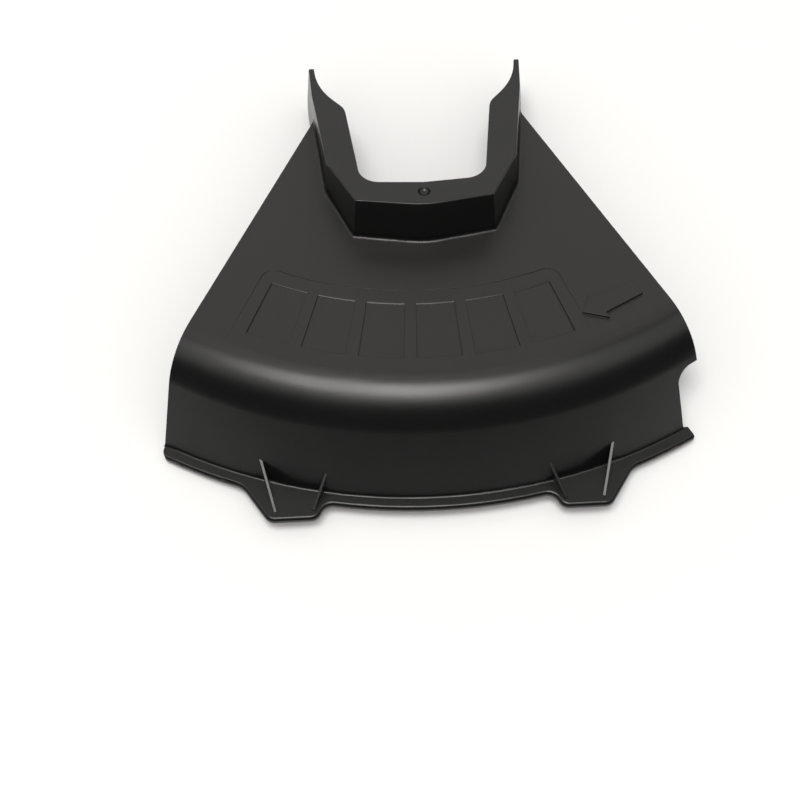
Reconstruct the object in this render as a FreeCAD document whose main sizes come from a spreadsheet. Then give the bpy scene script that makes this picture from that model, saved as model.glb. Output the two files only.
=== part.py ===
import FreeCAD, Part
import math
import os
import Sketcher

# Trimmer blade guard, moulded in one piece.
# It is drawn about the cutting head's axis: Z is that axis, the guard lies on the -Y side of it,
# and Z = 0 is the underside of the rim. At the end it is moved so that its origin is on the collar's
# top at the closed end of the slot. Sizes are in millimetres and degrees.

NODE = "blade_guard"

SIZES = {
    # Wall swept about the head's axis: level plate, round bend, leaning skirt, rim
    "rim_radius": 210.0,
    "rim_width": 5.0,
    "rim_height": 3.6,
    "wall": 2.4,
    "plate_height": 40.8,
    "skirt_lean": 28.8,
    "bend_radius": 24.0,
    "rim_root_round": 1.4,
    "rim_edge_round": 1.6,
    "sweep_angle": 76.0,
    # Straight sides of the fan
    "side_offset": 14.1,
    "side_angle": 27.4,
    "side_draft": 3.8,
    # Notch in one end of the skirt, and the end of the rim below it
    "notch_depth": 8.1,
    "notch_top": 27.2,
    "notch_lean": 9.7,
    "notch_round": 4.5,
    "rim_end_short_angle": 2.0,
    "rim_end_round": 4.2,
    "notch_end_round": 0.9,
    # Collar: a hood with a sloping top that stands on the plate, open at the back
    "tip_half": 43.6,
    "tip_front": 31.9,
    "flank_half": 42.6,
    "flank_front": 48.0,
    "shoulder_half": 37.1,
    "shoulder_front": 90.0,
    "nose_half": 26.3,
    "nose_front": 112.0,
    "apex_front": 116.2,
    "apex_rise": 21.8,
    "tip_rise": 5.8,
    "tip_draft": 5.4,
    "flank_draft": 3.6,
    "corner_draft": 5.0,
    "front_draft": 3.6,
    "collar_wall": 1.8,
    "collar_foot_round": 1.6,
    "collar_top_round": 0.7,
    "apex_round": 40.0,
    # Cheeks: the collar's side walls, carried on below the plate
    "cheek_bottom": 22.4,
    "cheek_level_front": 62.0,
    "cheek_round": 8.0,
    # Slot in the collar's top
    "tip_strip": 2.1,
    "throat_half": 40.0,
    "throat_front": 44.9,
    "neck_half": 29.3,
    "neck_front": 58.0,
    "seat_half": 24.0,
    "seat_front": 101.8,
    "seat_apex_front": 103.5,
    "throat_round": 32.0,
    "neck_round": 9.0,
    "seat_round": 8.5,
    "dimple_front": 108.7,
    "dimple_radius": 2.5,
    "dimple_depth": 1.4,
    # Two tabs on the rim, each with two gussets
    "tab_reach": 6.7,
    "tab_near": 46.6,
    "tab_far": 65.4,
    "tab_near_root": 42.4,
    "tab_far_root": 77.6,
    "tab_root_reach": 2.6,
    "tab_round": 4.6,
    "tab_far_root_round": 9.0,
    "tab_near_root_round": 4.5,
    "gusset_far": 62.6,
    "gusset_near": 48.3,
    "gusset_reach": 3.4,
    "gusset_far_turn": 14.2,
    "gusset_near_turn": 25.5,
    "gusset_height": 8.6,
    "gusset_tip_height": 0.6,
    "gusset_thickness": 1.1,
    # Panel of six sunk windows, off to one side of the middle
    "panel_turn": -2.9,
    "panel_inner_radius": 140.3,
    "panel_outer_radius": 181.0,
    "panel_angle": 46.6,
    "panel_depth": 0.25,
    "panel_round": 5.0,
    "window_inner_radius": 145.3,
    "window_outer_radius": 170.3,
    "window_angle": 5.8,
    "window_pitch": 7.4,
    "window_count": 6,
    "window_depth": 0.8,
    "window_ramp": 1.0,
    "window_ramp_angle": 22.0,
    # Raised arrow for the head's turning direction
    "arrow_radius": 164.2,
    "arrow_turn": 24.7,
    "arrow_length": 24.6,
    "arrow_head_length": 7.9,
    "arrow_head_half": 6.7,
    "arrow_neck_half": 4.0,
    "arrow_shaft_half": 3.2,
    "arrow_relief": 1.1,
}

OVERCUT = 5.0
REACH = 400.0
RIGHT_ANGLE = 90.0
CLOSE = 0.01


class Dim:
    """A size that carries its number and the expression that gives it."""

    def __init__(self, number, text):
        self.number = number
        self.text = text

    def __add__(self, other):
        other = dim(other)
        return Dim(self.number + other.number, f"({self.text} + {other.text})")

    def __sub__(self, other):
        other = dim(other)
        return Dim(self.number - other.number, f"({self.text} - {other.text})")

    def __mul__(self, other):
        other = dim(other)
        return Dim(self.number * other.number, f"({self.text} * {other.text})")

    def __truediv__(self, other):
        other = dim(other)
        return Dim(self.number / other.number, f"({self.text} / {other.text})")

    def __neg__(self):
        return Dim(-self.number, f"(-1 * {self.text})")


def dim(value):
    if isinstance(value, Dim):
        return value
    return Dim(float(value), repr(float(value)))


def tangent(angle):
    return Dim(math.tan(math.radians(angle.number)), f"tan({angle.text} * 1 deg)")


def sine(angle):
    return Dim(math.sin(math.radians(angle.number)), f"sin({angle.text} * 1 deg)")


def square_root(value):
    return Dim(math.sqrt(value.number), f"sqrt({value.text})")


def arc_tangent(value):
    return Dim(math.degrees(math.atan(value.number)), f"(atan({value.text}) / 1 deg)")


def arc_sine(value):
    return Dim(math.degrees(math.asin(value.number)), f"(asin({value.text}) / 1 deg)")


def cosine(angle):
    return Dim(math.cos(math.radians(angle.number)), f"cos({angle.text} * 1 deg)")


doc = FreeCAD.newDocument("trimmer_blade_guard")
sheet = doc.addObject("Spreadsheet::Sheet", "dims")
size = {}
for row, (alias, number) in enumerate(SIZES.items(), start=1):
    sheet.set(f"A{row}", alias)
    sheet.set(f"B{row}", str(number))
    sheet.setAlias(f"B{row}", alias)
    size[alias] = Dim(float(number), f"dims.{alias}")
doc.recompute()

body = doc.addObject("PartDesign::Body", NODE)
body.Label = NODE
origin = {feature.Role: feature for feature in body.Origin.OriginFeatures}


def bind(thing, path, value):
    thing.setExpression(path, dim(value).text)


def place_sketch(name, plane, base=(0, 0, 0), turn_axis=None, turn=None):
    """An empty sketch on an origin plane, shifted by base and turned about one of its own axes."""
    sketch = body.newObject("Sketcher::SketchObject", name)
    sketch.AttachmentSupport = [(origin[plane], "")]
    sketch.MapMode = "FlatFace"
    base = [dim(part) for part in base]
    rotation = FreeCAD.Rotation()
    if turn is not None:
        rotation = FreeCAD.Rotation(FreeCAD.Vector(*turn_axis), turn.number)
    sketch.AttachmentOffset = FreeCAD.Placement(FreeCAD.Vector(*[part.number for part in base]), rotation)
    for axis, part in zip("xyz", base):
        if part.number:
            bind(sketch, f".AttachmentOffset.Base.{axis}", part)
    if turn is not None:
        sketch.setExpression(".AttachmentOffset.Rotation.Angle", f"{turn.text} * 1 deg")
    return sketch


def add_polygon(sketch, points, arcs=None):
    """Draw a closed outline whose corners are bound to their expressions.

    arcs gives, for the number of an edge that is an arc run anticlockwise, its centre and radius.
    """
    arcs = arcs or {}
    corners = [FreeCAD.Vector(dim(x).number, dim(y).number, 0) for x, y in points]
    edges = []
    for number, (start, end) in enumerate(zip(corners, corners[1:] + corners[:1])):
        shape = Part.LineSegment(start, end)
        if number in arcs:
            centre, radius = arcs[number]
            centre = FreeCAD.Vector(*[dim(part).number for part in centre], 0)
            angles = [math.atan2(point.y - centre.y, point.x - centre.x) for point in (start, end)]
            circle = Part.Circle(centre, FreeCAD.Vector(0, 0, 1), radius.number)
            shape = Part.ArcOfCircle(circle, *angles)
        edges.append(sketch.addGeometry(shape))
    for edge, following in zip(edges, edges[1:] + edges[:1]):
        sketch.addConstraint(Sketcher.Constraint("Coincident", edge, 2, following, 1))
    for edge, point in zip(edges, points):
        for kind, part in zip(("DistanceX", "DistanceY"), point):
            part = dim(part)
            index = sketch.addConstraint(Sketcher.Constraint(kind, -1, 1, edge, 1, part.number))
            bind(sketch, f"Constraints[{index}]", part)
    for number, (centre, radius) in arcs.items():
        index = sketch.addConstraint(Sketcher.Constraint("Radius", edges[number], radius.number))
        bind(sketch, f"Constraints[{index}]", radius)


def feature(kind, name, profile):
    made = body.newObject(f"PartDesign::{kind}", name)
    made.Profile = profile
    return made


def finish(made, adds):
    """Recompute, and stop if the feature failed or changed the volume the wrong way."""
    before = finish.volume
    body.Tip = made
    doc.recompute()
    if made.State and any(word in made.State for word in ("Invalid", "Error")):
        raise RuntimeError(f"{made.Name}: {made.State}")
    if not made.Shape.isValid():
        raise RuntimeError(f"{made.Name}: shape isn't valid")
    after = made.Shape.Volume
    if (after - before) * adds <= 0:
        raise RuntimeError(f"{made.Name}: volume went from {before:.1f} to {after:.1f}")
    finish.volume = after
    print(f"{made.Name}: {after:.0f} mm3, {len(made.Shape.Solids)} solid")
    return made


finish.volume = 0.0


def mirror(name, originals, adds):
    made = body.newObject("PartDesign::Mirrored", name)
    made.Originals = originals
    made.MirrorPlane = (origin["YZ_Plane"], [""])
    return finish(made, adds)


def round_edges(name, radius, wanted, adds):
    """Fillet every edge of the tip for which wanted(edge, middle) holds."""
    base = body.Tip
    names = []
    for number, edge in enumerate(base.Shape.Edges, start=1):
        middle = edge.valueAt((edge.FirstParameter + edge.LastParameter) / 2)
        if wanted(edge, middle):
            names.append(f"Edge{number}")
    if not names:
        raise RuntimeError(f"{name}: no edge found")
    made = body.newObject("PartDesign::Fillet", name)
    made.Base = (base, names)
    made.Radius = radius.number
    bind(made, "Radius", radius)
    return finish(made, adds)


def near(first, second, tolerance=0.05):
    return abs(first - second) < tolerance


# Wall: plate, skirt and rim as one profile, swept about the head's axis

plate_under = size["plate_height"] - size["wall"]
lean = tangent(size["skirt_lean"])
level_wall = size["wall"] / cosine(size["skirt_lean"])
outer_corner = size["rim_radius"] - lean * (size["plate_height"] - size["rim_height"])
inner_corner = size["rim_radius"] - level_wall - lean * (plate_under - size["rim_height"])
inner_foot = size["rim_radius"] - level_wall + lean * size["rim_height"]
rim_outer = size["rim_radius"] + size["rim_width"]
plate_start = size["tip_half"]

wall_profile = place_sketch("wall_profile", "YZ_Plane")
add_polygon(wall_profile, [
    (-plate_start, size["plate_height"]),
    (-outer_corner, size["plate_height"]),
    (-size["rim_radius"], size["rim_height"]),
    (-rim_outer, size["rim_height"]),
    (-rim_outer, 0),
    (-inner_foot, 0),
    (-inner_corner, plate_under),
    (-plate_start, plate_under),
])
wall_sweep = feature("Revolution", "wall_sweep", wall_profile)
wall_sweep.ReferenceAxis = (wall_profile, ["V_Axis"])
wall_sweep.Midplane = True
bind(wall_sweep, "Angle", size["sweep_angle"])
finish(wall_sweep, 1)


def ring_edge(radius, height):
    def wanted(edge, middle):
        return near(math.hypot(middle.x, middle.y), radius.number) and near(middle.z, height.number)
    return wanted


round_edges("bend_inside", size["bend_radius"] - size["wall"], ring_edge(inner_corner, plate_under), 1)
round_edges("bend_outside", size["bend_radius"], ring_edge(outer_corner, size["plate_height"]), -1)
round_edges("rim_root", size["rim_root_round"], ring_edge(size["rim_radius"], size["rim_height"]), 1)

# Tabs on the rim, as thick as the rim and the same on both sides

tab_front = size["rim_radius"] + size["tab_reach"]
tab_root_radius = size["rim_radius"] + size["tab_root_reach"]


def upright(edge):
    ends = [vertex.Point for vertex in edge.Vertexes]
    return len(ends) == 2 and math.hypot(ends[0].x - ends[1].x, ends[0].y - ends[1].y) < 0.05


def tab_root(half):
    return (half, -square_root(tab_root_radius * tab_root_radius - half * half))


def tab_corner(edge, middle):
    return upright(edge) and near(middle.y, -tab_front.number)


def root_corner(far):
    tab_middle = (size["tab_near"].number + size["tab_far"].number) / 2

    def wanted(edge, middle):
        on_rim = near(math.hypot(middle.x, middle.y), rim_outer.number)
        beside_tab = abs(middle.x) < size["tab_far_root"].number
        return upright(edge) and on_rim and beside_tab and (abs(middle.x) > tab_middle) == far
    return wanted


def outer_edge(height):
    def wanted(edge, middle):
        ends = [vertex.Point for vertex in edge.Vertexes]
        level = all(near(point.z, height) for point in [middle] + ends)
        outside = all(math.hypot(point.x, point.y) > rim_outer.number - CLOSE for point in ends)
        return level and outside and math.hypot(middle.x, middle.y) > rim_outer.number - CLOSE
    return wanted


tab_sketch = place_sketch("tab_outline", "XY_Plane")
add_polygon(tab_sketch, [
    tab_root(size["tab_near_root"]),
    (size["tab_near"], -tab_front),
    (size["tab_far"], -tab_front),
    tab_root(size["tab_far_root"]),
])
tab = feature("Pad", "tab", tab_sketch)
bind(tab, "Length", size["rim_height"])
finish(tab, 1)
mirror("other_tab", [tab], 1)
round_edges("tab_corners", size["tab_round"], tab_corner, -1)
round_edges("tab_far_roots", size["tab_far_root_round"], root_corner(True), 1)
round_edges("tab_near_roots", size["tab_near_root_round"], root_corner(False), 1)
round_edges("rim_top_edge", size["rim_edge_round"], outer_edge(size["rim_height"].number), -1)
round_edges("rim_low_edge", size["rim_edge_round"], outer_edge(0.0), -1)

# Straight sides of the fan, drafted towards the rim

side_lean = tangent(size["side_draft"])
side_cut_sketch = place_sketch(
    "side_cut_profile", "XZ_Plane", (size["side_offset"], 0, 0), (0, 1, 0), size["side_angle"]
)
add_polygon(side_cut_sketch, [
    (side_lean * OVERCUT, size["plate_height"] + OVERCUT),
    (-side_lean * (size["plate_height"] + OVERCUT), -OVERCUT),
    (REACH, -OVERCUT),
    (REACH, size["plate_height"] + OVERCUT),
])
side_cut = feature("Pocket", "side_cut", side_cut_sketch)
side_cut.Type = "ThroughAll"
side_cut.SideType = "Symmetric"
finish(side_cut, -1)
mirror("other_side_cut", [side_cut], -1)



def side_turn(radius, height):
    """How far from the middle the side meets a radius at a height, as an angle about the head's axis."""
    level = size["side_offset"] * cosine(size["side_angle"]) - side_lean * (size["plate_height"] - height)
    return size["side_angle"] + arc_sine(level / radius)


# Notch: below the bend one end of the skirt stops short of the side

notch_radius = size["rim_radius"] - lean * (size["notch_top"] - size["rim_height"])
notch_half = notch_radius * sine(side_turn(notch_radius, size["notch_top"])) - size["notch_depth"]
notch_foot = notch_half + tangent(size["notch_lean"]) * (size["notch_top"] - size["rim_height"])
turn_in = size["notch_round"] * (sine(size["notch_lean"]) + 1) / cosine(size["notch_lean"])
turn_x = notch_half + turn_in
turn_z = size["notch_top"] - size["notch_round"]
notch_sketch = place_sketch("notch_profile", "XZ_Plane")
add_polygon(
    notch_sketch,
    [
        (turn_x, size["notch_top"]),
        (
            turn_x - size["notch_round"] * cosine(size["notch_lean"]),
            turn_z - size["notch_round"] * sine(size["notch_lean"]),
        ),
        (notch_foot, size["rim_height"]),
        (REACH, size["rim_height"]),
        (REACH, size["notch_top"]),
    ],
    arcs={0: ((turn_x, turn_z), size["notch_round"])},
)
notch = feature("Pocket", "notch", notch_sketch)
notch.Type = "ThroughAll"
notch.SideType = "Symmetric"
finish(notch, -1)

side_end_angle = side_turn(rim_outer, 0)
rim_end_angle = side_end_angle - size["rim_end_short_angle"]
rim_end_sketch = place_sketch("rim_end_profile", "YZ_Plane", (0, 0, 0), (0, 1, 0), rim_end_angle)
add_polygon(rim_end_sketch, [
    (-(size["rim_radius"] - OVERCUT), -OVERCUT),
    (-(rim_outer + OVERCUT), -OVERCUT),
    (-(rim_outer + OVERCUT), size["rim_height"]),
    (-(size["rim_radius"] - OVERCUT), size["rim_height"]),
])
rim_end_cut = feature("Groove", "rim_end_cut", rim_end_sketch)
rim_end_cut.ReferenceAxis = (rim_end_sketch, ["V_Axis"])
bind(rim_end_cut, "Angle", size["sweep_angle"] / 2)
finish(rim_end_cut, -1)

# Behind its root the rim ends where the notch comes down
root_front = -size["rim_radius"] * cosine(rim_end_angle)
rim_end_back_sketch = place_sketch(
    "rim_end_back_outline", "XY_Plane", (0, 0, size["rim_height"]), (0, 0, 1), dim(0)
)
add_polygon(rim_end_back_sketch, [
    (notch_foot, root_front),
    (REACH, root_front),
    (REACH, 0),
    (notch_foot, 0),
])
rim_end_back = feature("Pocket", "rim_end_back", rim_end_back_sketch)
bind(rim_end_back, "Length", size["rim_height"] + OVERCUT)
finish(rim_end_back, -1)


def round_rim_end(name, turn, points, centre, radius):
    """Take the outer corner off one end of the rim, seen from above."""
    corner = (rim_outer * sine(turn), -rim_outer * cosine(turn), 0)
    sketch = place_sketch(f"{name}_outline", "XY_Plane", corner, (0, 0, 1), turn)
    add_polygon(sketch, points, arcs={0: (centre, radius)})
    made = feature("Pocket", name, sketch)
    made.Type = "ThroughAll"
    made.SideType = "Symmetric"
    return finish(made, -1)


notch_end = size["notch_end_round"]
round_rim_end(
    "rim_end_by_notch", rim_end_angle,
    [(-notch_end, 0), (0, notch_end), (OVERCUT, notch_end), (OVERCUT, -OVERCUT), (-notch_end, -OVERCUT)],
    (-notch_end, notch_end), notch_end,
)
side_end = size["rim_end_round"]
round_rim_end(
    "rim_end_by_side", -side_end_angle,
    [(0, side_end), (side_end, 0), (side_end, -OVERCUT), (-OVERCUT, -OVERCUT), (-OVERCUT, side_end)],
    (side_end, side_end), side_end,
)

# Collar: an angular hood with a sloping top; its walls flare downwards

HALF_OUTLINE = [
    (size["tip_half"], size["tip_front"]),
    (size["flank_half"], size["flank_front"]),
    (size["shoulder_half"], size["shoulder_front"]),
    (size["nose_half"], size["nose_front"]),
    (dim(0), size["apex_front"]),
]
WALL_DRAFTS = [
    (size["tip_draft"], size["tip_draft"]),
    (size["flank_draft"], size["flank_draft"]),
    (size["flank_draft"], size["corner_draft"]),
    (size["corner_draft"], size["front_draft"]),
    (size["front_draft"], size["front_draft"]),
]
apex_height = size["plate_height"] + size["apex_rise"]
slope_fall = (size["apex_rise"] - size["tip_rise"]) / (size["apex_front"] - size["tip_front"])
collar_slope = arc_tangent(slope_fall)
slope_run = cosine(collar_slope)
cheek_lean = (size["tip_half"] - size["flank_half"]) / (size["flank_front"] - size["tip_front"])
collar_plane = dict(turn_axis=(1, 0, 0), turn=-collar_slope)


def outward_steps():
    """For each corner, how it moves when the wall before it, or after it, goes outwards by one unit."""
    path = [(half.number, -front.number) for half, front in HALF_OUTLINE]
    nose, apex = path[-2:]
    path.append((-nose[0], nose[1]))
    normals = []
    for (x0, y0), (x1, y1) in zip(path, path[1:]):
        length = math.hypot(x1 - x0, y1 - y0)
        normals.append((-(y1 - y0) / length, (x1 - x0) / length))
    steps = [((0.0, 0.0), (1 / normals[0][0], 0.0))]
    for (ax, ay), (bx, by) in zip(normals, normals[1:]):
        cross = ax * by - ay * bx
        steps.append(((by / cross, -bx / cross), (-ay / cross, ax / cross)))
    return steps


def collar_outline(outwards, back=0.0):
    """The collar's corners in plan, its walls moved by outwards(draft, front), with the back carried on."""
    half_path = []
    for (half, front), drafts, steps in zip(HALF_OUTLINE, WALL_DRAFTS, outward_steps()):
        moved_half = half
        moved_front = front
        for draft, (step_x, step_y) in zip(drafts, steps):
            moved = outwards(draft, front)
            moved_half = moved_half + moved * step_x
            moved_front = moved_front - moved * step_y
        half_path.append((moved_half, moved_front))
    tip_half, tip_front = half_path[0]
    half_path[0] = (tip_half + cheek_lean * back, tip_front - back)
    half_path[-1] = (dim(0), half_path[-1][1])
    return half_path + [(-half, front) for half, front in reversed(half_path[:-1])]


def on_level(half, front):
    return (half, -front)


def on_slope(half, front):
    return (half, (size["apex_front"] - front) / slope_run)


def top_height(front):
    return apex_height - slope_fall * (size["apex_front"] - front)


def collar_growth(draft, front):
    return tangent(draft) * (top_height(front) - size["cheek_bottom"])


def hollow_growth(draft, front):
    return collar_growth(draft, front) - size["collar_wall"]


def outline_sketch(name, base, point, corners, **turned):
    sketch = place_sketch(name, "XY_Plane", base, **turned)
    add_polygon(sketch, [point(half, front) for half, front in corners])
    return sketch


def loft(kind, name, low, high, adds):
    made = feature(kind, name, low)
    made.Sections = [high]
    made.Ruled = True
    return finish(made, adds)


collar_low = outline_sketch(
    "collar_low", (0, 0, size["cheek_bottom"]), on_level, collar_outline(collar_growth)
)
collar_high = outline_sketch(
    "collar_high", (0, -size["apex_front"], apex_height), on_slope,
    collar_outline(lambda draft, front: dim(0)), **collar_plane,
)
loft("AdditiveLoft", "collar", collar_low, collar_high, 1)


front_reach = size["apex_front"] + collar_growth(size["front_draft"], size["apex_front"])


def apex_edge(edge, middle):
    return all(near(vertex.Point.x, 0) for vertex in edge.Vertexes) and -middle.y > size["apex_front"].number


def collar_top(edge, middle):
    heights = [vertex.Point.z - top_height(dim(-vertex.Point.y)).number for vertex in edge.Vertexes]
    return all(near(height, 0) for height in heights) and -middle.y > size["tip_front"].number + CLOSE


def collar_foot(edge, middle):
    side = size["side_offset"].number - tangent(size["side_angle"]).number * middle.y
    ends = [vertex.Point for vertex in edge.Vertexes]
    level = all(near(point.z, size["plate_height"].number) for point in ends)
    in_reach = -middle.y < front_reach.number
    return in_reach and level and not near(abs(middle.x), side)


round_edges("collar_apex", size["apex_round"], apex_edge, -1)
round_edges("collar_foot", size["collar_foot_round"], collar_foot, 1)
round_edges("collar_top_edge", size["collar_top_round"], collar_top, -1)

hollow_low = outline_sketch(
    "hollow_low", (0, 0, size["cheek_bottom"]), on_level, collar_outline(hollow_growth, OVERCUT)
)
hollow_high = outline_sketch(
    "hollow_high", (0, -size["apex_front"], apex_height - size["collar_wall"] / slope_run), on_slope,
    collar_outline(lambda draft, front: -size["collar_wall"], OVERCUT), **collar_plane,
)
loft("SubtractiveLoft", "collar_hollow", hollow_low, hollow_high, -1)

# Below the plate only the side walls go on, and they run out towards the front

cheek_sketch = place_sketch("cheek_trim_profile", "YZ_Plane")
front_overcut = front_reach + OVERCUT
add_polygon(cheek_sketch, [
    (-size["cheek_level_front"], size["cheek_bottom"]),
    (-size["shoulder_front"], plate_under),
    (-front_overcut, plate_under),
    (-front_overcut, size["cheek_bottom"] - OVERCUT),
    (-size["cheek_level_front"], size["cheek_bottom"] - OVERCUT),
])
cheek_trim = feature("Pocket", "cheek_trim", cheek_sketch)
cheek_trim.Type = "ThroughAll"
cheek_trim.SideType = "Symmetric"
finish(cheek_trim, -1)

cheek_back = -size["tip_front"]
cheek_turn = cheek_back - size["cheek_round"]
cheek_corner_sketch = place_sketch("cheek_corner_profile", "YZ_Plane")
add_polygon(
    cheek_corner_sketch,
    [
        (cheek_turn, size["cheek_bottom"]),
        (cheek_back, size["cheek_bottom"] + size["cheek_round"]),
        (cheek_back + OVERCUT, size["cheek_bottom"] + size["cheek_round"]),
        (cheek_back + OVERCUT, size["cheek_bottom"] - OVERCUT),
        (cheek_turn, size["cheek_bottom"] - OVERCUT),
    ],
    arcs={0: ((cheek_turn, size["cheek_bottom"] + size["cheek_round"]), size["cheek_round"])},
)
cheek_corners = feature("Pocket", "cheek_corners", cheek_corner_sketch)
cheek_corners.Type = "ThroughAll"
cheek_corners.SideType = "Symmetric"
finish(cheek_corners, -1)

# Slot in the collar's top, open at the back, for the neck of the machine

mouth_half = size["tip_half"] - size["tip_strip"]
back_overcut = size["tip_front"] - OVERCUT
mouth_lean = arc_tangent((mouth_half - size["throat_half"]) / (size["throat_front"] - size["tip_front"]))
throat_lean = arc_tangent(
    (size["throat_half"] - size["neck_half"]) / (size["neck_front"] - size["throat_front"])
)
throat_run = size["throat_round"] * tangent((throat_lean - mouth_lean) / 2)
throat_start = (
    size["throat_half"] + throat_run * sine(mouth_lean),
    size["throat_front"] - throat_run * cosine(mouth_lean),
)
throat_end = (
    size["throat_half"] - throat_run * sine(throat_lean),
    size["throat_front"] + throat_run * cosine(throat_lean),
)
throat_centre = (
    throat_start[0] - size["throat_round"] * cosine(mouth_lean),
    throat_start[1] - size["throat_round"] * sine(mouth_lean),
)
slot_half = [
    (mouth_half, back_overcut),
    (mouth_half, size["tip_front"]),
    throat_start,
    throat_end,
    (size["neck_half"], size["neck_front"]),
    (size["seat_half"], size["seat_front"]),
]
slot_points = [on_level(-half, front) for half, front in slot_half]
slot_points.append(on_level(dim(0), size["seat_apex_front"]))
slot_points += [on_level(half, front) for half, front in reversed(slot_half)]
left_throat = slot_half.index(throat_start)
right_throat = len(slot_points) - 1 - slot_half.index(throat_end)
slot_sketch = place_sketch("slot_outline", "XY_Plane", (0, 0, apex_height + OVERCUT))
add_polygon(slot_sketch, slot_points, arcs={
    left_throat: (on_level(-throat_centre[0], throat_centre[1]), size["throat_round"]),
    right_throat: (on_level(*throat_centre), size["throat_round"]),
})
slot = feature("Pocket", "slot", slot_sketch)
slot.Type = "ThroughAll"
finish(slot, -1)


def slot_corner(half, front):
    def wanted(edge, middle):
        return upright(edge) and near(abs(middle.x), half.number) and near(middle.y, -front.number)
    return wanted


round_edges("slot_neck", size["neck_round"], slot_corner(size["neck_half"], size["neck_front"]), -1)
round_edges("slot_seat", size["seat_round"], slot_corner(size["seat_half"], size["seat_front"]), 1)

# Gussets on the tabs, the same on both sides

gusset_front = size["rim_radius"] + size["gusset_reach"]


def gusset(name, half, turn, outwards):
    """A thin upright wedge from the tab's front to the middle of the skirt's wall."""
    along = gusset_front * cosine(turn) - half * sine(turn) * outwards
    start = half * half + gusset_front * gusset_front

    def run_to(radius):
        return along - square_root(along * along - start + radius * radius)

    wall_middle = size["rim_radius"] - level_wall / 2
    sketch = place_sketch(
        f"{name}_profile", "XZ_Plane", (half, 0, gusset_front), (0, 1, 0), dim(RIGHT_ANGLE) - turn * outwards
    )
    seat = size["rim_height"] / 2
    add_polygon(sketch, [
        (0, seat),
        (run_to(wall_middle), seat),
        (run_to(wall_middle - lean * size["gusset_height"]), size["rim_height"] + size["gusset_height"]),
        (0, size["rim_height"] + size["gusset_tip_height"]),
    ])
    made = feature("Pad", name, sketch)
    made.SideType = "Symmetric"
    bind(made, "Length", size["gusset_thickness"])
    return finish(made, 1)


gusset_far = gusset("gusset_far", size["gusset_far"], size["gusset_far_turn"], 1)
gusset_near = gusset("gusset_near", size["gusset_near"], size["gusset_near_turn"], -1)
mirror("other_gussets", [gusset_far, gusset_near], 1)

# Panel of sunk windows on the plate


def ring_pocket(name, turn, angle, profile):
    """A sunk field turned about the head's axis, spread evenly about a direction."""
    sketch = place_sketch(f"{name}_profile", "YZ_Plane", (0, 0, 0), (0, 1, 0), turn)
    add_polygon(sketch, [(-radius, size["plate_height"] + height) for radius, height in profile])
    made = feature("Groove", name, sketch)
    made.ReferenceAxis = (sketch, ["V_Axis"])
    made.Midplane = True
    bind(made, "Angle", angle)
    return finish(made, -1)


# The panel is deepest along its inner side and runs out level with the plate at its outer side
ring_pocket("panel", size["panel_turn"], size["panel_angle"], [
    (size["panel_inner_radius"], -size["panel_depth"]),
    (size["panel_outer_radius"], dim(0)),
    (size["panel_outer_radius"], dim(OVERCUT)),
    (size["panel_inner_radius"], dim(OVERCUT)),
])


def panel_corner(edge, middle):
    radius = math.hypot(middle.x, middle.y)
    on_plate = near(middle.z, size["plate_height"].number - size["panel_depth"].number / 2)
    return upright(edge) and on_plate and near(radius, size["panel_inner_radius"].number)


round_edges("panel_corners", size["panel_round"], panel_corner, 1)
window_span = size["window_pitch"] * (size["window_count"] - 1)
ramp_foot = size["window_inner_radius"] + size["window_ramp"]
panel_fall = size["panel_depth"] / (size["panel_outer_radius"] - size["panel_inner_radius"])
ramp_start = panel_fall * (size["panel_outer_radius"] - size["window_inner_radius"])
ramp_fall = ramp_start + size["window_ramp"] * tangent(size["window_ramp_angle"])
window = ring_pocket("window", size["panel_turn"] - window_span / 2, size["window_angle"], [
    (size["window_inner_radius"], -ramp_start),
    (ramp_foot, -ramp_fall),
    (ramp_foot, -size["window_depth"]),
    (size["window_outer_radius"], -size["window_depth"]),
    (size["window_outer_radius"], dim(OVERCUT)),
    (size["window_inner_radius"], dim(OVERCUT)),
])
windows = body.newObject("PartDesign::PolarPattern", "windows")
windows.Originals = [window]
windows.Axis = (origin["Z_Axis"], [""])
bind(windows, "Angle", window_span)
bind(windows, "Occurrences", size["window_count"])
finish(windows, -1)

# Arrow for the head's turning direction

arrow_sketch = place_sketch(
    "arrow_outline", "XY_Plane", (0, 0, plate_under + size["wall"] / 2), (0, 0, 1), size["arrow_turn"]
)
arrow_tip = -size["arrow_length"] / 2
arrow_neck = arrow_tip + size["arrow_head_length"]
arrow_side = [
    (arrow_neck, size["arrow_head_half"]),
    (arrow_neck, size["arrow_neck_half"]),
    (size["arrow_length"] / 2, size["arrow_shaft_half"]),
]
arrow_points = [(arrow_tip, -size["arrow_radius"])]
arrow_points += [(along, -size["arrow_radius"] - half) for along, half in arrow_side]
arrow_points += [(along, half - size["arrow_radius"]) for along, half in reversed(arrow_side)]
add_polygon(arrow_sketch, arrow_points)
arrow = feature("Pad", "arrow", arrow_sketch)
bind(arrow, "Length", size["wall"] / 2 + size["arrow_relief"])
finish(arrow, 1)

# Dimple in the collar's top

dimple_sketch = place_sketch(
    "dimple_profile", "YZ_Plane", (-size["dimple_front"], top_height(size["dimple_front"]), 0),
    (0, 0, 1), -collar_slope,
)
cup_radius = (size["dimple_radius"] * size["dimple_radius"] / size["dimple_depth"] + size["dimple_depth"]) / 2
add_polygon(
    dimple_sketch,
    [
        (0, -size["dimple_depth"]),
        (size["dimple_radius"], 0),
        (size["dimple_radius"], OVERCUT),
        (0, OVERCUT),
    ],
    arcs={0: ((0, cup_radius - size["dimple_depth"]), cup_radius)},
)
dimple = feature("Groove", "dimple", dimple_sketch)
dimple.ReferenceAxis = (dimple_sketch, ["V_Axis"])
finish(dimple, -1)

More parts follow.
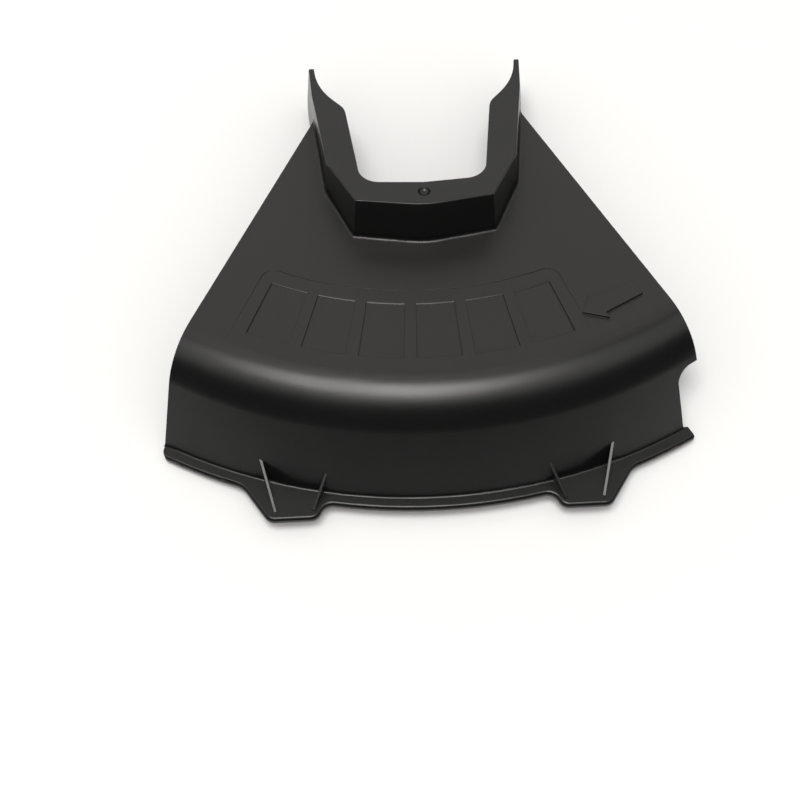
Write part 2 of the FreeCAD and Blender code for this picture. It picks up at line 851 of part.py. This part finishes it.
# The origin goes to the closed end of the slot, where the neck of the machine seats

bind(body, ".Placement.Base.y", size["seat_apex_front"])
bind(body, ".Placement.Base.z", -top_height(size["seat_apex_front"]))
doc.recompute()

# Write the part

for thing in doc.Objects:
    if any(word in thing.State for word in ("Invalid", "Error")):
        raise RuntimeError(f"{thing.Name}: {thing.State}")
if body.Shape.isNull() or not body.Shape.isValid() or len(body.Shape.Solids) != 1:
    raise RuntimeError(f"{NODE}: not one valid solid")
os.makedirs("parts", exist_ok=True)
body.Shape.exportStep(f"parts/{NODE}.step")
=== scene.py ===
import math

import bmesh
import bpy
from mathutils import Matrix, Vector


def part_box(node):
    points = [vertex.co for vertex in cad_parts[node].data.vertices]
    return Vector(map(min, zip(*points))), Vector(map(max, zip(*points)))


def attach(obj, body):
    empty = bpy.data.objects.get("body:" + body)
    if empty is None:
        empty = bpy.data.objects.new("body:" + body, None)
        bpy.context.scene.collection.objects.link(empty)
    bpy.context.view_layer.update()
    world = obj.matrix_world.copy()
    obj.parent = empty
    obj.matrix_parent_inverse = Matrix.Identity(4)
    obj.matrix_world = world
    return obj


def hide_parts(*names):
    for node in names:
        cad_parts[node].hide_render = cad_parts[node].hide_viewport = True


# The guard's own frame, in metres: the origin is at the closed end of the slot
HEAD_AXIS_BEHIND = 0.1035
RIM_HEIGHT = 0.0036
PLATE_TOP = -0.0194

# Joining and smoothing the shell, and finding the plane it rests on
MERGE_DISTANCE = 1e-6
FLAT_ANGLE = math.radians(0.4)
CREASE_ANGLE = math.radians(32.0)
FLAT_FACE_WEIGHT = 60
RESTING_ROUNDS = 8

# The moulding's finish: a fine grain, cloudy gloss and edges that are a little soft
MOULDING_COLOUR = (0.0055, 0.0055, 0.0057, 1.0)
MOULDING_IOR = 1.5
GRAIN_SCALE = 2600.0
GRAIN_DETAIL = 2.0
GRAIN_STRENGTH = 0.12
GRAIN_DEPTH = 0.0002
CLOUD_SCALE = 28.0
CLOUD_DETAIL = 4.0
CLOUD_RANGE = (0.3, 0.7)
ROUGHNESS_RANGE = (0.28, 0.32)
EDGE_RADIUS = 0.0003
EDGE_SAMPLES = 6

# The level plate's rougher finish and its painted light, a lighter colour on the upward faces,
# fade out between these distances from the plate's height and between these upward parts of a
# face's normal
PAINTED_TOP_LIGHT_COLOUR = (0.0118, 0.0113, 0.0106, 1.0)
PLATE_MATTE_ROUGHNESS = 0.09
PLATE_TOP_HEIGHTS = (0.002, 0.004)
PLATE_TOP_SLANTS = (0.975, 0.995)

# The dust: cells per metre, a speck's radius in its cell, and the share of cells without one
DUST_COLOUR = (0.2, 0.19, 0.18, 1.0)
DUST_SCALE = 70.0
DUST_RADIUS = 0.03
DUST_FREE = 0.9

# The stage, in metres; the shades are the cards' albedos
STAGE_ROUGHNESS = 0.9
FLOOR_SHADE = 0.96
FLOOR_SIZE = (12.0, 6.0)
FLOOR_SHIFT = (0.0, -2.6, 0.0)
FLOOR_FADE = (0.5, 1.0)
WALL_SHADE = 0.02
WALL_SIZE = (2.2, 2.0, 1.6)
WALL_BEHIND = 1.1
WALL_RAISED = 0.4
WALL_SEGMENTS = 64
CARD_SHADE = 0.28
CARD_SIZE = (2.4, 0.92)
CARD_PLACE = (0.0, 0.5, 2.0)

# The light; the sky's levels are for light on the guard and for the background
LAMP_PLACE = (-0.17, -0.4, 2.0)
LAMP_AIM = (0.0, -0.09, 0.0)
LAMP_SIZE = (1.02, 0.76)
LAMP_POWER = 22.5
LAMP_COLOUR = (1.0, 0.98, 0.96)
SKY_COLOUR = (1.0, 0.98, 0.955, 1.0)
SKY_LEVELS = (0.62, 1.0)

# The camera looks at a point level with the rim's top, measured from the head's axis;
# the angles are in radians, the lens and the sensor in millimetres
CAMERA_TARGET = Vector((-0.00946, -0.1672, 0.0))
CAMERA_DISTANCE = 0.5933
CAMERA_ELEVATION = 1.05864
CAMERA_YAW = 0.02097
CAMERA_ROLL = 0.03188
CAMERA_LENS = 67.5
CAMERA_SENSOR = 36.0


def linked_object(name, bm):
    """A new object in the scene with the bmesh's shape; the bmesh is freed."""
    mesh = bpy.data.meshes.new(name)
    bm.to_mesh(mesh)
    bm.free()
    item = bpy.data.objects.new(name, mesh)
    bpy.context.scene.collection.objects.link(item)
    return item


def moulded_shell(node):
    """The guard's shell with its triangles joined, smooth over the bend, creased at the edges."""
    bm = bmesh.new()
    bm.from_mesh(node.data)
    bmesh.ops.remove_doubles(bm, verts=bm.verts, dist=MERGE_DISTANCE)
    bmesh.ops.dissolve_limit(bm, angle_limit=FLAT_ANGLE, verts=bm.verts, edges=bm.edges)
    for face in bm.faces:
        face.smooth = True
    for edge in bm.edges:
        creased = len(edge.link_faces) == 2 and edge.calc_face_angle() > CREASE_ANGLE
        edge.smooth = not creased
    shell = linked_object("guard_shell", bm)
    weighted = shell.modifiers.new("flat_faces_lead", "WEIGHTED_NORMAL")
    weighted.mode = "FACE_AREA_WITH_ANGLE"
    weighted.weight = FLAT_FACE_WEIGHT
    weighted.keep_sharp = True
    return shell


def resting_plane(shell):
    """Height at y = 0 and rise along +Y of the plane under the rim's ends and the cheeks."""
    points = [vert.co for vert in shell.data.vertices]
    front = [point for point in points if point.y < 0.0]
    back = [point for point in points if point.y >= 0.0]
    rise = 0.0
    for _ in range(RESTING_ROUNDS):
        low_front = min(front, key=lambda point: point.z - rise * point.y)
        low_back = min(back, key=lambda point: point.z - rise * point.y)
        rise = (low_back.z - low_front.z) / (low_back.y - low_front.y)
    return low_front.z - rise * low_front.y, rise


def feed(tree, socket, value):
    """Links another node's output to the socket, or sets the socket to a plain value."""
    if isinstance(value, bpy.types.NodeSocket):
        tree.links.new(value, socket)
    else:
        socket.default_value = value


def math_node(tree, operation, *values):
    node = tree.nodes.new("ShaderNodeMath")
    node.operation = operation
    for socket, value in zip(node.inputs, values):
        feed(tree, socket, value)
    return node.outputs["Value"]


def map_range(tree, value, source, target):
    node = tree.nodes.new("ShaderNodeMapRange")
    feed(tree, node.inputs["Value"], value)
    feed(tree, node.inputs["From Min"], source[0])
    feed(tree, node.inputs["From Max"], source[1])
    feed(tree, node.inputs["To Min"], target[0])
    feed(tree, node.inputs["To Max"], target[1])
    return node.outputs["Result"]


def mixed_colour(tree, share, first, second):
    node = tree.nodes.new("ShaderNodeMix")
    node.data_type = "RGBA"
    feed(tree, node.inputs["Factor"], share)
    feed(tree, node.inputs["A"], first)
    feed(tree, node.inputs["B"], second)
    return node.outputs["Result"]


def noise(tree, place, scale, detail):
    node = tree.nodes.new("ShaderNodeTexNoise")
    feed(tree, node.inputs["Vector"], place.outputs["Object"])
    feed(tree, node.inputs["Scale"], scale)
    feed(tree, node.inputs["Detail"], detail)
    return node.outputs["Fac"]


def upward_part(tree, vector):
    node = tree.nodes.new("ShaderNodeSeparateXYZ")
    feed(tree, node.inputs["Vector"], vector)
    return node.outputs["Z"]


def matte_and_painted_top(tree, place):
    """Mask of the plate's rougher finish and painted light: 1 on level faces at the plate's
    height, and 0 on the rest of the guard.
    """
    height = upward_part(tree, place.outputs["Object"])
    above_plate = math_node(tree, "SUBTRACT", height, PLATE_TOP)
    off_plate = math_node(tree, "ABSOLUTE", above_plate)
    near_plate = map_range(tree, off_plate, PLATE_TOP_HEIGHTS, (1.0, 0.0))
    slant = upward_part(tree, place.outputs["Normal"])
    level_top = map_range(tree, slant, PLATE_TOP_SLANTS, (0.0, 1.0))
    return math_node(tree, "MULTIPLY", near_plate, level_top)


def dust_specks(tree, place):
    """1 on a few small scattered specks, and 0 between them."""
    cells = tree.nodes.new("ShaderNodeTexVoronoi")
    feed(tree, cells.inputs["Vector"], place.outputs["Object"])
    feed(tree, cells.inputs["Scale"], DUST_SCALE)
    near_middle = math_node(tree, "LESS_THAN", cells.outputs["Distance"], DUST_RADIUS)
    draw = tree.nodes.new("ShaderNodeSeparateColor")
    feed(tree, draw.inputs["Color"], cells.outputs["Color"])
    chosen = math_node(tree, "GREATER_THAN", draw.outputs["Red"], DUST_FREE)
    return math_node(tree, "MULTIPLY", near_middle, chosen)


def black_moulding():
    """Satin black plastic, rougher on the level plate, with painted light (a lighter colour) on
    its upward faces, soft edges and specks of dust.
    """
    material = bpy.data.materials.new("black_moulding")
    material.use_nodes = True
    tree = material.node_tree
    shader = tree.nodes["Principled BSDF"]
    feed(tree, shader.inputs["IOR"], MOULDING_IOR)
    place = tree.nodes.new("ShaderNodeTexCoord")
    matte_and_lit_top = matte_and_painted_top(tree, place)

    cloud = noise(tree, place, CLOUD_SCALE, CLOUD_DETAIL)
    gloss = map_range(tree, cloud, CLOUD_RANGE, ROUGHNESS_RANGE)
    roughness = math_node(tree, "MULTIPLY_ADD", matte_and_lit_top, PLATE_MATTE_ROUGHNESS, gloss)
    feed(tree, shader.inputs["Roughness"], roughness)

    soft_edge = tree.nodes.new("ShaderNodeBevel")
    soft_edge.samples = EDGE_SAMPLES
    feed(tree, soft_edge.inputs["Radius"], EDGE_RADIUS)
    bump = tree.nodes.new("ShaderNodeBump")
    feed(tree, bump.inputs["Strength"], GRAIN_STRENGTH)
    feed(tree, bump.inputs["Distance"], GRAIN_DEPTH)
    feed(tree, bump.inputs["Height"], noise(tree, place, GRAIN_SCALE, GRAIN_DETAIL))
    feed(tree, bump.inputs["Normal"], soft_edge.outputs["Normal"])
    feed(tree, shader.inputs["Normal"], bump.outputs["Normal"])

    # Painted light: the level plate's upward faces get a lighter colour than the rest of the
    # moulding
    painted_top_colour = mixed_colour(tree, matte_and_lit_top, MOULDING_COLOUR, PAINTED_TOP_LIGHT_COLOUR)
    colour = mixed_colour(tree, dust_specks(tree, place), painted_top_colour, DUST_COLOUR)
    feed(tree, shader.inputs["Base Color"], colour)
    return material


def plain_material(name, shade):
    """A dull grey with no highlight."""
    material = bpy.data.materials.new(name)
    material.use_nodes = True
    shader = material.node_tree.nodes["Principled BSDF"]
    shader.inputs["Base Color"].default_value = (shade, shade, shade, 1.0)
    shader.inputs["Roughness"].default_value = STAGE_ROUGHNESS
    shader.inputs["Specular IOR Level"].default_value = 0.0
    return material


def background_rays(tree):
    """1 for what the camera sees, straight or in a reflection, and 0 for light on the guard."""
    path = tree.nodes.new("ShaderNodeLightPath")
    seen = math_node(tree, "MAXIMUM", path.outputs["Is Camera Ray"], path.outputs["Is Glossy Ray"])
    return math_node(tree, "MAXIMUM", seen, path.outputs["Is Transmission Ray"])


def white_floor():
    """White under the guard with its shadow, and plain white background farther out."""
    material = plain_material("floor_white", FLOOR_SHADE)
    tree = material.node_tree
    place = tree.nodes.new("ShaderNodeTexCoord")
    distance = tree.nodes.new("ShaderNodeVectorMath")
    distance.operation = "LENGTH"
    feed(tree, distance.inputs[0], place.outputs["Object"])
    far = map_range(tree, distance.outputs["Value"], FLOOR_FADE, (0.0, 1.0))
    backdrop = tree.nodes.new("ShaderNodeEmission")
    feed(tree, backdrop.inputs["Color"], SKY_COLOUR)
    blend = tree.nodes.new("ShaderNodeMixShader")
    feed(tree, blend.inputs[0], math_node(tree, "MULTIPLY", far, background_rays(tree)))
    feed(tree, blend.inputs[1], tree.nodes["Principled BSDF"].outputs["BSDF"])
    feed(tree, blend.inputs[2], backdrop.outputs["Emission"])
    feed(tree, tree.nodes["Material Output"].inputs["Surface"], blend.outputs["Shader"])
    return material


def stage_card(name, size, place, material):
    """A flat card of the stage, level until its place turns it."""
    bm = bmesh.new()
    bmesh.ops.create_grid(bm, x_segments=1, y_segments=1, size=0.5)
    bmesh.ops.scale(bm, vec=(*size, 1.0), verts=bm.verts)
    bmesh.ops.transform(bm, matrix=place, verts=bm.verts)
    card = linked_object(name, bm)
    card.data.materials.append(material)
    return card


def stage_wall(name, size, place, material):
    """An upright wall all round the stage."""
    bm = bmesh.new()
    bmesh.ops.create_cone(
        bm, cap_ends=False, segments=WALL_SEGMENTS, radius1=1.0, radius2=1.0, depth=1.0
    )
    bmesh.ops.scale(bm, vec=size, verts=bm.verts)
    bmesh.ops.transform(bm, matrix=place, verts=bm.verts)
    wall = linked_object(name, bm)
    wall.data.materials.append(material)
    return wall


def show_in_reflections_only(item):
    item.visible_camera = False
    item.visible_diffuse = False
    item.visible_shadow = False


def add_camera(rim_top):
    """A camera that turns about the head's axis at the height of the rim's top."""
    right = Vector((1.0, 0.0, 0.0))
    up = Vector((0.0, math.sin(CAMERA_ELEVATION), math.cos(CAMERA_ELEVATION)))
    back = Vector((0.0, -math.cos(CAMERA_ELEVATION), math.sin(CAMERA_ELEVATION)))
    across = math.cos(CAMERA_ROLL) * right - math.sin(CAMERA_ROLL) * up
    upwards = math.sin(CAMERA_ROLL) * right + math.cos(CAMERA_ROLL) * up
    turned = Matrix((across, upwards, back)).transposed().to_4x4()
    data = bpy.data.cameras.new("camera")
    data.lens = CAMERA_LENS
    data.sensor_width = CAMERA_SENSOR
    camera = bpy.data.objects.new("camera", data)
    bpy.context.scene.collection.objects.link(camera)
    camera.matrix_world = (
        Matrix.Translation((0.0, HEAD_AXIS_BEHIND, rim_top))
        @ Matrix.Rotation(-CAMERA_YAW, 4, "Z")
        @ Matrix.Translation(CAMERA_TARGET + CAMERA_DISTANCE * back)
        @ turned
    )
    bpy.context.scene.camera = camera


def add_soft_box():
    """One large lamp overhead, to the left and towards the camera."""
    data = bpy.data.lights.new("soft_box", "AREA")
    data.shape = "RECTANGLE"
    data.size, data.size_y = LAMP_SIZE
    data.energy = LAMP_POWER
    data.color = LAMP_COLOUR
    lamp = bpy.data.objects.new("soft_box", data)
    bpy.context.scene.collection.objects.link(lamp)
    lamp.location = LAMP_PLACE
    towards = Vector(LAMP_AIM) - Vector(LAMP_PLACE)
    lamp.rotation_euler = towards.to_track_quat("-Z", "Y").to_euler()


def add_sky():
    """White as a background and in reflections, dimmer as light."""
    world = bpy.data.worlds.new("sky")
    world.use_nodes = True
    bpy.context.scene.world = world
    tree = world.node_tree
    background = tree.nodes["Background"]
    level = map_range(tree, background_rays(tree), (0.0, 1.0), SKY_LEVELS)
    feed(tree, background.inputs["Strength"], level)
    feed(tree, background.inputs["Color"], SKY_COLOUR)


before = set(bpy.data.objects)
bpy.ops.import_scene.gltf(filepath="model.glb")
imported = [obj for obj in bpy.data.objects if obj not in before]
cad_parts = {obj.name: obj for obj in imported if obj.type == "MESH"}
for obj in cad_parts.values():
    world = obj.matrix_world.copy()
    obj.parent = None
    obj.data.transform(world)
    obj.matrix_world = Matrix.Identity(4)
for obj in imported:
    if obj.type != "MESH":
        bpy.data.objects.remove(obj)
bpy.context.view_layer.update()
bpy.context.scene.view_settings.view_transform = "Standard"
rim_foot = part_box("blade_guard")[0].z

shell = moulded_shell(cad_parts["blade_guard"])
shell.data.materials.append(black_moulding())
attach(shell, "root")
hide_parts("blade_guard")

rest_height, rest_rise = resting_plane(shell)
floor_place = (
    Matrix.Translation((0.0, 0.0, rest_height))
    @ Matrix.Rotation(math.atan(rest_rise), 4, "X")
    @ Matrix.Translation(FLOOR_SHIFT)
)
stage_card("floor", FLOOR_SIZE, floor_place, white_floor())

wall_place = Matrix.Translation((0.0, WALL_BEHIND, rim_foot + WALL_RAISED))
wall_dark = plain_material("wall_dark", WALL_SHADE)
show_in_reflections_only(stage_wall("dark_wall", WALL_SIZE, wall_place, wall_dark))

card_place = Matrix.Translation(CARD_PLACE)
card_grey = plain_material("card_grey", CARD_SHADE)
show_in_reflections_only(stage_card("grey_card", CARD_SIZE, card_place, card_grey))

add_camera(rim_foot + RIM_HEIGHT)
add_soft_box()
add_sky()
